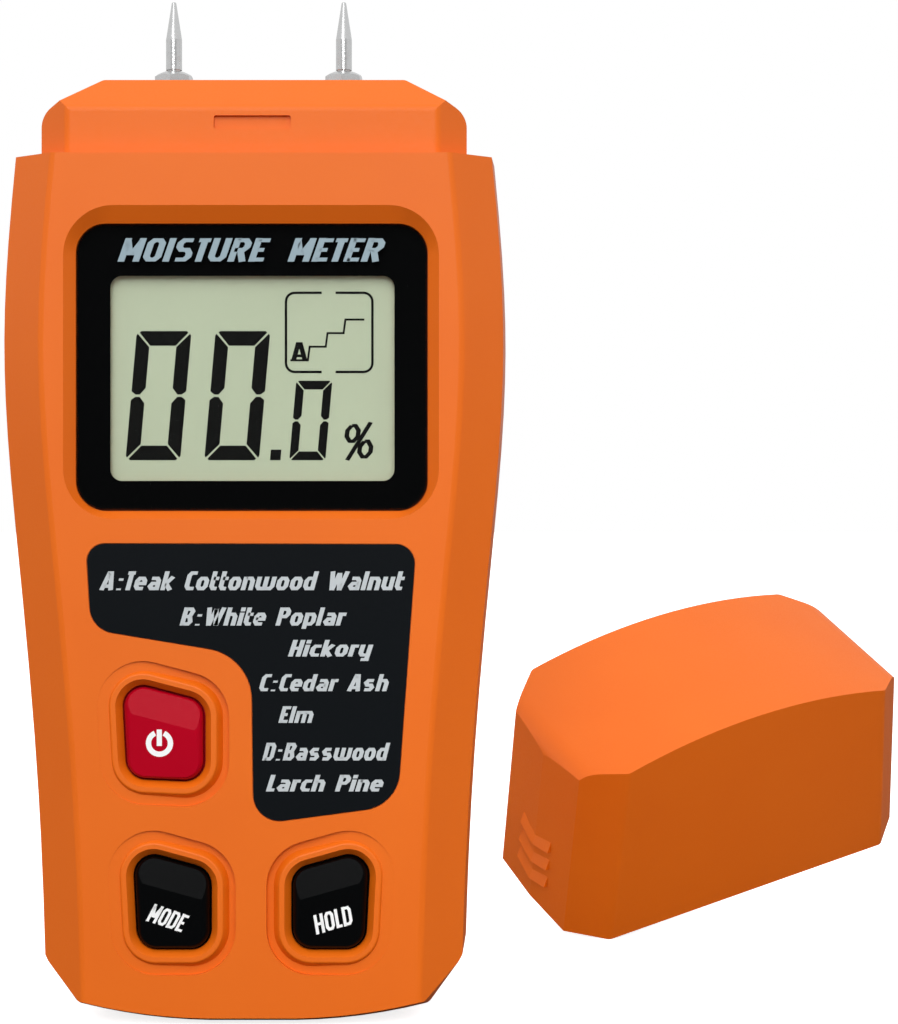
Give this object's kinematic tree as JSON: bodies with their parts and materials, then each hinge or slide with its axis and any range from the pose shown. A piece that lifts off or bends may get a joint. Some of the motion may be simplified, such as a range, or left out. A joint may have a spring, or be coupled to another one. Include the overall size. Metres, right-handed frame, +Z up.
{
  "type": "moisture meter",
  "caption": "Handheld two-pin moisture meter for wood with a liquid-crystal display, sprung keys, a hinged battery door and a separate push-on pin cap.",
  "frame": {"origin": "middle of the small flat under the case, on the parting plane", "axes": "+Z runs up the case towards the pins, -Y points out of the display face, +X is to the reader's right"},
  "size_m": [0.138, 0.1224, 0.1418],
  "materials": {
    "orange_abs": "fine spark-eroded texture",
    "battery_jacket": "satin jacket",
    "snap_plastic": "moulded",
    "screw_steel": "zinc plated",
    "ceramic": "fired",
    "chip_black": "moulded",
    "nickel_can": "satin",
    "clear_lens": "polished",
    "black_plastic": "moulded",
    "switch_plastic": "moulded",
    "contact_rubber": "matte",
    "black_frame": "satin",
    "lcd_glass": "polished",
    "wire_red": "extruded",
    "needle_steel": "turned and polished",
    "nut_steel": "plated",
    "socket_brass": "turned",
    "gasket_black": "matte",
    "board_green": "solder mask",
    "red_plastic": "moulded",
    "sleeve_blue": "shrunk sleeve",
    "wire_black": "extruded",
    "label_film": "fine satin"
  },
  "bodies": {
    "case": {"back_shell": "orange_abs", "battery": "battery_jacket", "battery_snap": "snap_plastic", "board_screws": "screw_steel", "case_screws": "screw_steel", "chip_capacitors": "ceramic", "chip_resistors": "chip_black", "controller_chip": "chip_black", "crystal": "nickel_can", "display_lens": "clear_lens", "front_shell": "orange_abs", "hold_switch": "switch_plastic", "lcd_contact_strips": "contact_rubber", "lcd_holder": "black_frame", "lcd_panel": "lcd_glass", "left_battery_lead": "wire_red", "left_pin": "needle_steel", "left_pin_lead": "wire_red", "left_pin_nut": "nut_steel", "left_socket": "socket_brass", "lens_gasket": "gasket_black", "main_board": "board_green", "mode_switch": "switch_plastic", "power_switch": "switch_plastic", "reservoir_capacitor": "sleeve_blue", "right_battery_lead": "wire_black", "right_pin": "needle_steel", "right_pin_lead": "wire_black", "right_pin_nut": "nut_steel", "right_socket": "socket_brass", "signal_chip": "chip_black", "species_label": "label_film"},
    "power_button": {"power_key": "red_plastic", "power_plunger": "switch_plastic"},
    "mode_button": {"mode_key": "black_plastic", "mode_plunger": "switch_plastic"},
    "hold_button": {"hold_key": "black_plastic", "hold_plunger": "switch_plastic"},
    "battery_door": {"battery_door": "orange_abs"},
    "pin_cap": {"pin_cap": "orange_abs"}
  },
  "joints": [
    {"name": "power_button_press", "type": "slide", "parent": "case", "child": "power_button", "axis": [0, 1, 0], "range_m": [0, 0.0008], "stiffness_N_per_m": 1500, "springref_m": -0.0004},
    {"name": "mode_button_press", "type": "slide", "parent": "case", "child": "mode_button", "axis": [0, 1, 0], "range_m": [0, 0.0008], "stiffness_N_per_m": 1500, "springref_m": -0.0004},
    {"name": "hold_button_press", "type": "slide", "parent": "case", "child": "hold_button", "axis": [0, 1, 0], "range_m": [0, 0.0008], "stiffness_N_per_m": 1500, "springref_m": -0.0004},
    {"name": "battery_door_swing", "type": "hinge", "parent": "case", "child": "battery_door", "pos_m": [0, 0.01505, 0.0109], "axis": [-1, 0, 0], "range_deg": [0, 90]},
    {"name": "pin_cap_lift", "type": "slide", "parent": "case", "child": "pin_cap", "axis": [0, 0, 1], "range_m": [0, 0.05]}
  ]
}
